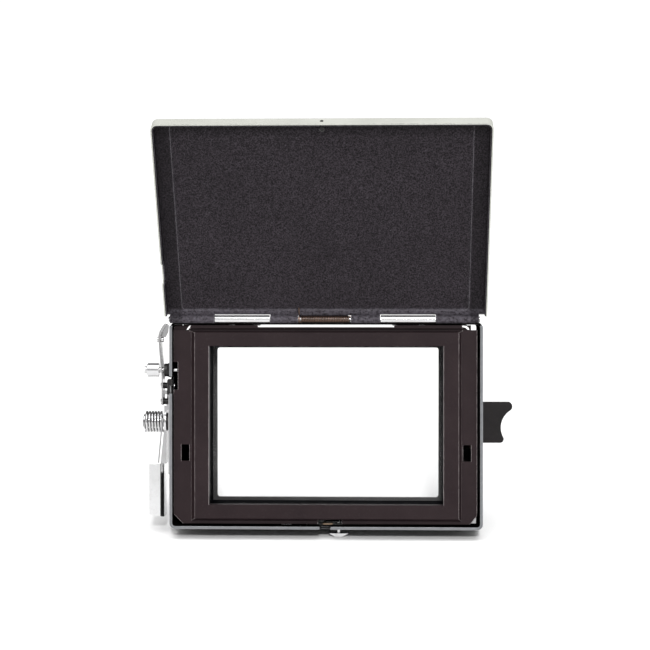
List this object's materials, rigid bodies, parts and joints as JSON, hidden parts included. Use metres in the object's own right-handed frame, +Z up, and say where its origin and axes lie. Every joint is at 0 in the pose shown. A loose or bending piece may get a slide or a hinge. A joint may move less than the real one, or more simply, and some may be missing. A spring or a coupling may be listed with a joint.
{
  "type": "negative carrier",
  "caption": "Shallow black metal negative carrier for 6x9 film with a sprung lid held open, a lift-out glass gate, a sliding format mask and side release levers.",
  "frame": {"origin": "middle of the bottom limb of the rear rim of the body shell, on the rear rim plane and halfway through the sheet", "axes": "+Z up with the carrier standing on its lower edge, -Y towards the lid side, +X towards the pull tab"},
  "size_m": [0.1409, 0.0717, 0.1525],
  "materials": {
    "body_black": "satin",
    "plated_steel": "polished",
    "spring_bronze": "satin",
    "lid_lacquer": "satin",
    "lid_wrinkle": "wrinkle",
    "gate_satin": "satin",
    "well_black": "satin",
    "plate_glass": "clear",
    "mask_black": "satin",
    "bare_steel": "satin",
    "plate_steel": "satin",
    "oxide_black": "satin",
    "latch_brass": "satin"
  },
  "bodies": {
    "body": {"body_shell": "body_black", "body_hinge_leaf": "plated_steel", "hinge_leaf_rivets": "plated_steel", "hinge_pin": "plated_steel", "hinge_spring_coil": "spring_bronze", "base_plate": "plate_steel", "mask_guide_top": "plate_steel", "mask_guide_bottom": "plate_steel", "guide_rivets": "bare_steel", "rail_left": "body_black", "rail_right": "body_black", "rail_rivets": "bare_steel", "base_screws": "bare_steel", "gate_rest_left": "body_black", "gate_rest_right": "body_black", "rest_rivets": "bare_steel", "mask_detent_spring": "spring_bronze", "detent_rivet": "bare_steel", "side_plate": "plated_steel", "side_leaf_spring": "plated_steel", "leaf_tip_screw": "plated_steel", "leaf_collars": "oxide_black", "leaf_rivets": "plated_steel", "plunger_barrel": "oxide_black", "lever_pivot_post": "oxide_black", "lever_bushing": "oxide_black", "lever_retainer": "plated_steel", "lever_torsion_spring": "plated_steel", "latch_guide_studs": "bare_steel", "latch_spring": "bare_steel"},
    "lid": {"lid_cover": "lid_lacquer", "lid_liner": "lid_wrinkle", "lid_catch_stud": "oxide_black", "hinge_spring_lid_leg": "spring_bronze"},
    "gate": {"gate_frame": "gate_satin", "gate_corner_plate": "bare_steel", "gate_tunnel": "well_black", "gate_glass": "plate_glass", "glass_clips": "bare_steel", "clip_screws": "bare_steel"},
    "mask": {"format_mask": "mask_black"},
    "plunger": {"plunger_pin": "plated_steel", "plunger_knob": "plated_steel"},
    "lever": {"release_lever": "plated_steel", "lever_pawl": "oxide_black", "lever_thumb_pad": "plated_steel", "lever_spring_leg": "plated_steel"},
    "latch": {"latch_plate": "oxide_black", "latch_tongue": "latch_brass", "latch_button": "plated_steel"}
  },
  "joints": [
    {"name": "lid_hinge", "type": "hinge", "parent": "body", "child": "lid", "pos_m": [0, -0.0294, 0.078], "axis": [-1, 0, 0], "range_deg": [-150, 0], "stiffness_Nm_per_rad": 0.03, "springref_deg": 85.94},
    {"name": "gate_lift", "type": "slide", "parent": "body", "child": "gate", "axis": [0, -1, 0], "range_m": [0, 0.025]},
    {"name": "mask_slide", "type": "slide", "parent": "body", "child": "mask", "axis": [1, 0, 0], "range_m": [0, 0.09]},
    {"name": "plunger_pull", "type": "slide", "parent": "body", "child": "plunger", "axis": [-1, 0, 0], "range_m": [0, 0.0025], "stiffness_N_per_m": 400, "springref_m": -0.002},
    {"name": "lever_swing", "type": "hinge", "parent": "body", "child": "lever", "pos_m": [0, -0.017, 0.03885], "axis": [1, 0, 0], "range_deg": [0, 8], "stiffness_Nm_per_rad": 0.1, "springref_deg": -17.19},
    {"name": "latch_slide", "type": "slide", "parent": "body", "child": "latch", "axis": [1, 0, 0], "range_m": [0, 0.003], "stiffness_N_per_m": 300, "springref_m": -0.002}
  ]
}
